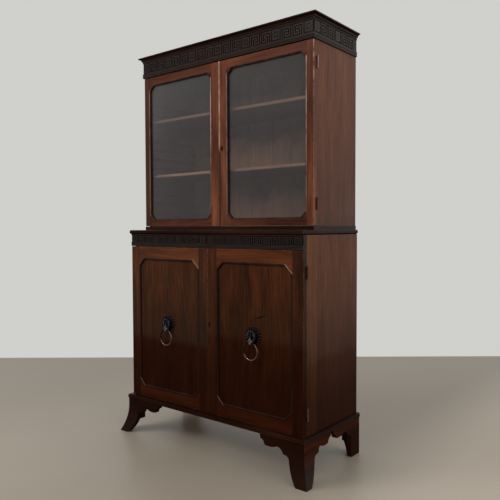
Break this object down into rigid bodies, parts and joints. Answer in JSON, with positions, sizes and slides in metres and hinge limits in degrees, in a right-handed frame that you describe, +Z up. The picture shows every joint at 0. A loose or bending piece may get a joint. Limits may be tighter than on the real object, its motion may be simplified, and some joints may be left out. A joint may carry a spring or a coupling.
{
  "type": "bookcase with glass doors",
  "caption": "Two-part mahogany bookcase: glazed doors over panelled cupboard doors with lion-mask ring pulls, fretted friezes, beaded base moulding and splayed bracket feet.",
  "frame": {"origin": "centre of the bounding box at floor level", "axes": "+X to the viewer's right, +Y towards the back, +Z up; the doors face -Y"},
  "size_m": [1.1068, 0.4742, 1.85],
  "materials": {
    "mahogany": "satin polish",
    "door_mahogany": "satin polish",
    "dark_mahogany": "polished",
    "back_wood": "matt",
    "glass": "clear, slightly hazy",
    "brass": "aged",
    "bronze": "dark patina"
  },
  "bodies": {
    "case": {"base_moulding": "mahogany", "cornice_moulding": "mahogany", "dust_board": "back_wood", "foot_front_left": "mahogany", "foot_front_right": "mahogany", "foot_rear_left": "mahogany", "foot_rear_right": "mahogany", "lower_back_boards": "back_wood", "lower_bottom_board": "mahogany", "lower_case_hinge_leaves": "brass", "lower_fret_strips": "dark_mahogany", "lower_frieze_rail": "dark_mahogany", "lower_shelf": "mahogany", "lower_side_left": "mahogany", "lower_side_right": "mahogany", "lower_top_board": "mahogany", "upper_back_boards": "back_wood", "upper_bottom_board": "mahogany", "upper_case_hinge_leaves": "brass", "upper_frieze_front": "dark_mahogany", "upper_frieze_left": "dark_mahogany", "upper_frieze_right": "dark_mahogany", "upper_plinth_moulding": "mahogany", "upper_shelf_high": "mahogany", "upper_shelf_low": "mahogany", "upper_side_left": "mahogany", "upper_side_right": "mahogany", "upper_top_board": "mahogany"},
    "upper_door_left": {"upper_door_left_frame": "mahogany", "upper_door_left_glazing_moulding": "mahogany", "upper_door_left_glass": "glass", "upper_door_left_hinge_leaves": "brass", "upper_bolt_plates": "brass"},
    "upper_door_right": {"upper_door_right_frame": "mahogany", "upper_door_right_glazing_moulding": "mahogany", "upper_door_right_glass": "glass", "upper_door_right_hinge_leaves": "brass", "meeting_bead": "mahogany", "upper_lock": "brass"},
    "lower_door_left": {"lower_door_left_frame": "door_mahogany", "lower_door_left_panel": "door_mahogany", "lower_door_left_panel_moulding": "door_mahogany", "lower_door_left_hinge_leaves": "brass", "lower_bolt_plates": "brass", "lion_mask_left": "bronze"},
    "lower_door_right": {"lower_door_right_frame": "door_mahogany", "lower_door_right_panel": "door_mahogany", "lower_door_right_panel_moulding": "door_mahogany", "lower_door_right_hinge_leaves": "brass", "lower_lock": "brass", "lion_mask_right": "bronze"},
    "pull_ring_left": {"pull_ring_left": "bronze"},
    "pull_ring_right": {"pull_ring_right": "bronze"},
    "upper_lock_bolt": {"upper_lock_bolt": "brass"},
    "lower_lock_bolt": {"lower_lock_bolt": "brass"},
    "upper_bolt_high": {"upper_bolt_high": "brass"},
    "upper_bolt_low": {"upper_bolt_low": "brass"},
    "lower_bolt_high": {"lower_bolt_high": "brass"},
    "lower_bolt_low": {"lower_bolt_low": "brass"}
  },
  "joints": [
    {"name": "upper_door_left_swing", "type": "hinge", "parent": "case", "child": "upper_door_left", "pos_m": [-0.5033, -0.0812, 0.5], "axis": [0, 0, -1], "range_deg": [0, 170]},
    {"name": "upper_door_right_swing", "type": "hinge", "parent": "case", "child": "upper_door_right", "pos_m": [0.5033, -0.0812, 0.5], "axis": [0, 0, 1], "range_deg": [0, 170]},
    {"name": "lower_door_left_swing", "type": "hinge", "parent": "case", "child": "lower_door_left", "pos_m": [-0.5123, -0.1652, 0.5], "axis": [0, 0, -1], "range_deg": [0, 170]},
    {"name": "lower_door_right_swing", "type": "hinge", "parent": "case", "child": "lower_door_right", "pos_m": [0.5123, -0.1652, 0.5], "axis": [0, 0, 1], "range_deg": [0, 170]},
    {"name": "pull_ring_left_swing", "type": "hinge", "parent": "lower_door_left", "child": "pull_ring_left", "pos_m": [-0.254, -0.2029, 0.53], "axis": [-1, 0, 0], "range_deg": [-10, 110]},
    {"name": "pull_ring_right_swing", "type": "hinge", "parent": "lower_door_right", "child": "pull_ring_right", "pos_m": [0.254, -0.2029, 0.53], "axis": [-1, 0, 0], "range_deg": [-10, 110]},
    {"name": "upper_lock_throw", "type": "slide", "parent": "upper_door_right", "child": "upper_lock_bolt", "axis": [-1, 0, 0], "range_m": [0, 0.008]},
    {"name": "lower_lock_throw", "type": "slide", "parent": "lower_door_right", "child": "lower_lock_bolt", "axis": [-1, 0, 0], "range_m": [0, 0.008]},
    {"name": "upper_bolt_high_throw", "type": "slide", "parent": "upper_door_left", "child": "upper_bolt_high", "axis": [0, 0, 1], "range_m": [0, 0.009]},
    {"name": "upper_bolt_low_throw", "type": "slide", "parent": "upper_door_left", "child": "upper_bolt_low", "axis": [0, 0, -1], "range_m": [0, 0.009]},
    {"name": "lower_bolt_high_throw", "type": "slide", "parent": "lower_door_left", "child": "lower_bolt_high", "axis": [0, 0, 1], "range_m": [0, 0.009]},
    {"name": "lower_bolt_low_throw", "type": "slide", "parent": "lower_door_left", "child": "lower_bolt_low", "axis": [0, 0, -1], "range_m": [0, 0.009]}
  ]
}
